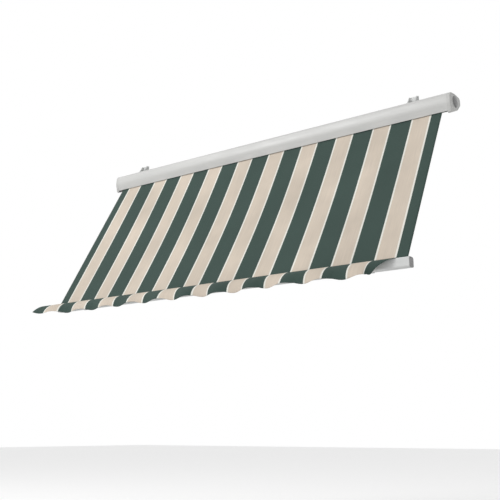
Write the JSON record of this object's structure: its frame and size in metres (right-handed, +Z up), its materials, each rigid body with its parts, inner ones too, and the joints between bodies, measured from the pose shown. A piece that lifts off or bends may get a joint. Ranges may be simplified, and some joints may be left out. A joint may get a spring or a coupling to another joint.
{
  "type": "folding arm awning",
  "caption": "Striped cloth awning that unrolls from a slim closed hood on two folding arms, with a front bar and a scalloped valance.",
  "frame": {"origin": "on the wall plane, midway along the hood, level with the pitch pivot bolts", "axes": "+X along the wall, +Y into the wall, +Z up; the cover runs out and down towards -Y"},
  "size_m": [3.1083, 0.9238, 1.4229],
  "materials": {
    "hood_paint": "satin",
    "cap_paint": "satin",
    "bar_paint": "satin",
    "arm_paint": "satin",
    "cast_metal": "satin",
    "zinc_steel": "satin",
    "motor_metal": "satin",
    "grey_plastic": "matte",
    "striped_cloth": "matte"
  },
  "bodies": {
    "wall_brackets": {"wall_bracket_left": "bar_paint", "wall_bracket_right": "bar_paint", "pivot_bolt_left": "zinc_steel", "pivot_bolt_right": "zinc_steel"},
    "cassette": {"hood": "hood_paint", "end_cap_left": "cap_paint", "end_cap_right": "cap_paint", "tilt_lug_left": "cast_metal", "tilt_lug_right": "cast_metal", "lock_bolt_left": "zinc_steel", "lock_bolt_right": "zinc_steel", "shoulder_bracket_left": "cast_metal", "shoulder_bracket_right": "cast_metal", "shoulder_pin_left": "zinc_steel", "shoulder_pin_right": "zinc_steel", "shoulder_bolt_left": "zinc_steel", "shoulder_bolt_right": "zinc_steel", "tubular_motor": "motor_metal", "idler_bush": "grey_plastic", "cover": "striped_cloth"},
    "roller": {"roller_tube": "zinc_steel", "idler_plug": "grey_plastic", "drive_wheel": "grey_plastic", "motor_crown": "grey_plastic"},
    "rear_arm_left": {"shoulder_knuckle_left": "cast_metal", "rear_arm_left": "arm_paint", "elbow_fork_left": "cast_metal", "elbow_pin_left": "zinc_steel"},
    "forearm_left": {"elbow_tongue_left": "cast_metal", "forearm_left": "arm_paint", "wrist_knuckle_left": "cast_metal", "tension_spring_left": "zinc_steel", "tension_cable_left": "zinc_steel"},
    "rear_arm_right": {"shoulder_knuckle_right": "cast_metal", "rear_arm_right": "arm_paint", "elbow_fork_right": "cast_metal", "elbow_pin_right": "zinc_steel"},
    "forearm_right": {"elbow_tongue_right": "cast_metal", "forearm_right": "arm_paint", "wrist_knuckle_right": "cast_metal", "tension_spring_right": "zinc_steel", "tension_cable_right": "zinc_steel"},
    "front_bar": {"front_bar": "bar_paint", "front_bar_cap_left": "grey_plastic", "front_bar_cap_right": "grey_plastic", "wrist_bracket_left": "cast_metal", "wrist_bracket_right": "cast_metal", "wrist_pin_left": "zinc_steel", "wrist_pin_right": "zinc_steel", "cover_welt": "striped_cloth", "valance_welt": "striped_cloth", "valance": "striped_cloth"}
  },
  "joints": [
    {"name": "pitch", "type": "hinge", "parent": "wall_brackets", "child": "cassette", "pos_m": [0, -0.05, 0], "axis": [1, 0, 0], "range_deg": [-20, 15]},
    {"name": "left_shoulder", "type": "hinge", "parent": "cassette", "child": "rear_arm_left", "pos_m": [-1.2, -0.14309, -0.15243], "axis": [0, -0.866, 0.5], "range_deg": [0, 64.33], "deforming": ["cover"]},
    {"name": "left_elbow", "type": "hinge", "parent": "rear_arm_left", "child": "forearm_left", "pos_m": [-0.92588, -0.45424, -0.69136], "axis": [0, -0.866, 0.5], "range_deg": [-129.66, 1]},
    {"name": "left_wrist", "type": "hinge", "parent": "forearm_left", "child": "front_bar", "pos_m": [-1.2, -0.76539, -1.23029], "axis": [0, -0.866, 0.5], "range_deg": [-1, 65.33]},
    {"name": "right_shoulder", "type": "hinge", "parent": "cassette", "child": "rear_arm_right", "pos_m": [1.2, -0.14309, -0.15243], "axis": [0, -0.866, 0.5], "range_deg": [-65.33, 1]},
    {"name": "right_elbow", "type": "hinge", "parent": "rear_arm_right", "child": "forearm_right", "pos_m": [0.92588, -0.45424, -0.69136], "axis": [0, -0.866, 0.5], "range_deg": [-1, 129.66]},
    {"name": "roller_spin", "type": "hinge", "parent": "cassette", "child": "roller", "pos_m": [0, -0.11181, -0.08504], "axis": [1, 0, 0], "range_deg": [-2087.8, 5]}
  ],
  "couplings": [
    {"joint": "left_elbow", "follows": "left_shoulder", "ratio": -2},
    {"joint": "left_wrist", "follows": "left_shoulder", "ratio": 1},
    {"joint": "right_shoulder", "follows": "left_shoulder", "ratio": -1},
    {"joint": "right_elbow", "follows": "left_shoulder", "ratio": 2},
    {"joint": "roller_spin", "follows": "left_shoulder", "ratio": -32.376}
  ]
}
